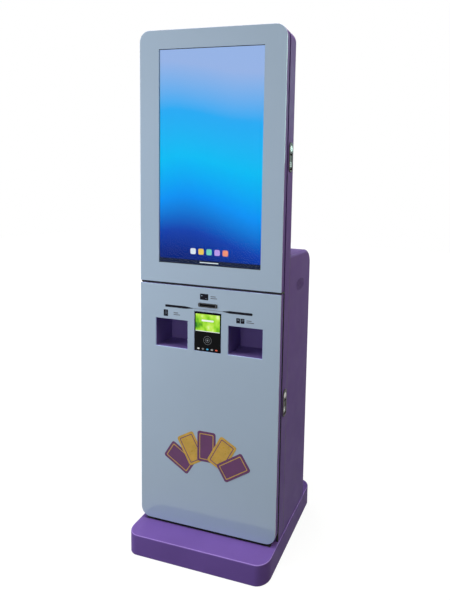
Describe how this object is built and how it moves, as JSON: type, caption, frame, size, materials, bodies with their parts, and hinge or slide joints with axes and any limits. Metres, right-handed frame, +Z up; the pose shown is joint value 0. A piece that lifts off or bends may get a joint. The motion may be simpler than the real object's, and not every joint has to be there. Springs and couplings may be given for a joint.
{
  "type": "card vending kiosk",
  "caption": "Free-standing self-service kiosk: portrait touch display above a glass door with card slot, payment terminal and delivery trays, on a low wide base.",
  "frame": {"origin": "on the floor, under the middle of the base", "axes": "+Z up, the glass fronts face -Y, +X to the right of someone facing the kiosk"},
  "size_m": [0.532, 0.46, 1.8],
  "materials": {
    "purple_paint": "satin powder coat",
    "tray_paint": "satin powder coat",
    "front_glass": "glossy glass with an opaque pale print behind",
    "terminal_glass": "glossy black glass",
    "black_plastic": "fine moulded grain",
    "grey_plastic": "fine moulded grain",
    "red_plastic": "gloss",
    "display": "lit screen",
    "board": "solder mask",
    "rubber": "matte",
    "zinc_steel": "zinc plated",
    "lock_metal": "satin chrome",
    "dark_case": "black anodised",
    "supply_case": "plain mill finish",
    "paper": "thermal paper"
  },
  "bodies": {
    "cabinet": {"base_plinth": "purple_paint", "column_wrap": "purple_paint", "sill_rail": "purple_paint", "head_back_panel": "purple_paint", "cabinet_side_left": "purple_paint", "cabinet_side_right": "purple_paint", "cabinet_top_wrap": "purple_paint", "cabinet_rear_panel": "purple_paint", "cabinet_floor": "purple_paint", "mid_rail": "black_plastic", "printer_body": "black_plastic", "inlet_socket": "black_plastic", "fan_frame": "black_plastic", "dispenser_body": "grey_plastic", "base_feet": "rubber", "dispenser_belt": "rubber", "base_anchor_plate": "zinc_steel", "device_shelf": "zinc_steel", "hinge_frame_leaves": "zinc_steel", "hinge_pins": "zinc_steel", "panel_screws": "zinc_steel", "dispenser_motor": "zinc_steel", "lock_bezels": "lock_metal", "computer_case": "dark_case", "power_supply": "supply_case"},
    "lower_door": {"lower_door_frame": "purple_paint", "lower_door_glass": "front_glass", "lower_door_gasket": "rubber", "lower_hinge_door_leaves": "zinc_steel", "lower_door_strike": "zinc_steel", "tray_left": "tray_paint", "tray_right": "tray_paint", "card_slot_bezel": "black_plastic", "card_reader_body": "black_plastic", "terminal_housing": "black_plastic", "terminal_face": "terminal_glass"},
    "head_door": {"head_door_frame": "purple_paint", "head_door_plate": "purple_paint", "head_glass": "front_glass", "head_door_gasket": "rubber", "head_hinge_door_leaves": "zinc_steel", "head_door_strike": "zinc_steel", "display_panel": "display", "display_bars": "zinc_steel", "display_board": "board"},
    "lower_lever": {"lower_lock_lever": "lock_metal"},
    "lower_lock": {"lower_lock_cylinder": "lock_metal", "lower_lock_cam": "zinc_steel"},
    "head_lever": {"head_lock_lever": "lock_metal"},
    "head_lock": {"head_lock_cylinder": "lock_metal", "head_lock_cam": "zinc_steel"},
    "printer_lid": {"printer_cover": "grey_plastic"},
    "platen": {"printer_platen": "rubber"},
    "roll": {"paper_roll": "paper"},
    "pick_roller": {"dispenser_pick_roller": "rubber"},
    "exit_roller": {"dispenser_exit_roller": "rubber"},
    "weight": {"card_weight": "zinc_steel"},
    "power_button": {"computer_button": "lock_metal"},
    "rocker": {"inlet_rocker": "red_plastic"},
    "fan": {"fan_rotor": "grey_plastic"}
  },
  "joints": [
    {"name": "lower_door_hinge", "type": "hinge", "parent": "cabinet", "child": "lower_door", "pos_m": [-0.258, -0.1235, 0.52], "axis": [0, 0, -1], "range_deg": [0, 100]},
    {"name": "head_door_hinge", "type": "hinge", "parent": "cabinet", "child": "head_door", "pos_m": [-0.258, -0.1235, 1.381], "axis": [0, 0, -1], "range_deg": [0, 100]},
    {"name": "lower_lever_pull", "type": "hinge", "parent": "cabinet", "child": "lower_lever", "pos_m": [0.259, -0.096, 0.575], "axis": [0, -1, 0], "range_deg": [0, 60]},
    {"name": "lower_key_turn", "type": "hinge", "parent": "cabinet", "child": "lower_lock", "pos_m": [0.244, -0.096, 0.597], "axis": [-1, 0, 0], "range_deg": [0, 90]},
    {"name": "head_lever_pull", "type": "hinge", "parent": "cabinet", "child": "head_lever", "pos_m": [0.259, -0.096, 1.404], "axis": [0, -1, 0], "range_deg": [0, 60]},
    {"name": "head_key_turn", "type": "hinge", "parent": "cabinet", "child": "head_lock", "pos_m": [0.244, -0.096, 1.426], "axis": [-1, 0, 0], "range_deg": [0, 90]},
    {"name": "printer_lid_hinge", "type": "hinge", "parent": "cabinet", "child": "printer_lid", "pos_m": [-0.139, 0.113, 0.838], "axis": [-1, 0, 0], "range_deg": [0, 85]},
    {"name": "paper_roll_spin", "type": "hinge", "parent": "cabinet", "child": "roll", "pos_m": [-0.139, 0.054, 0.783], "axis": [1, 0, 0], "continuous": true},
    {"name": "platen_spin", "type": "hinge", "parent": "cabinet", "child": "platen", "pos_m": [-0.139, -0.029, 0.824], "axis": [1, 0, 0], "continuous": true},
    {"name": "pick_roller_spin", "type": "hinge", "parent": "cabinet", "child": "pick_roller", "pos_m": [0.139, 0.01033, 0.8087], "axis": [1, 0, 0], "continuous": true},
    {"name": "exit_roller_spin", "type": "hinge", "parent": "cabinet", "child": "exit_roller", "pos_m": [0.139, -0.029, 0.8087], "axis": [1, 0, 0], "continuous": true},
    {"name": "card_weight_lift", "type": "slide", "parent": "cabinet", "child": "weight", "axis": [0, 0, 1], "range_m": [0, 0.16]},
    {"name": "power_button_press", "type": "slide", "parent": "cabinet", "child": "power_button", "axis": [0, 1, 0], "range_m": [0, 0.002], "stiffness_N_per_m": 400},
    {"name": "power_switch_rock", "type": "hinge", "parent": "cabinet", "child": "rocker", "pos_m": [0.15, 0.147, 0.193], "axis": [-1, 0, 0], "range_deg": [0, 20]},
    {"name": "fan_spin", "type": "hinge", "parent": "cabinet", "child": "fan", "pos_m": [0, 0.135, 0.795], "axis": [0, 1, 0], "continuous": true}
  ],
  "couplings": [
    {"joint": "platen_spin", "follows": "paper_roll_spin", "ratio": -6},
    {"joint": "exit_roller_spin", "follows": "pick_roller_spin", "ratio": 1}
  ]
}
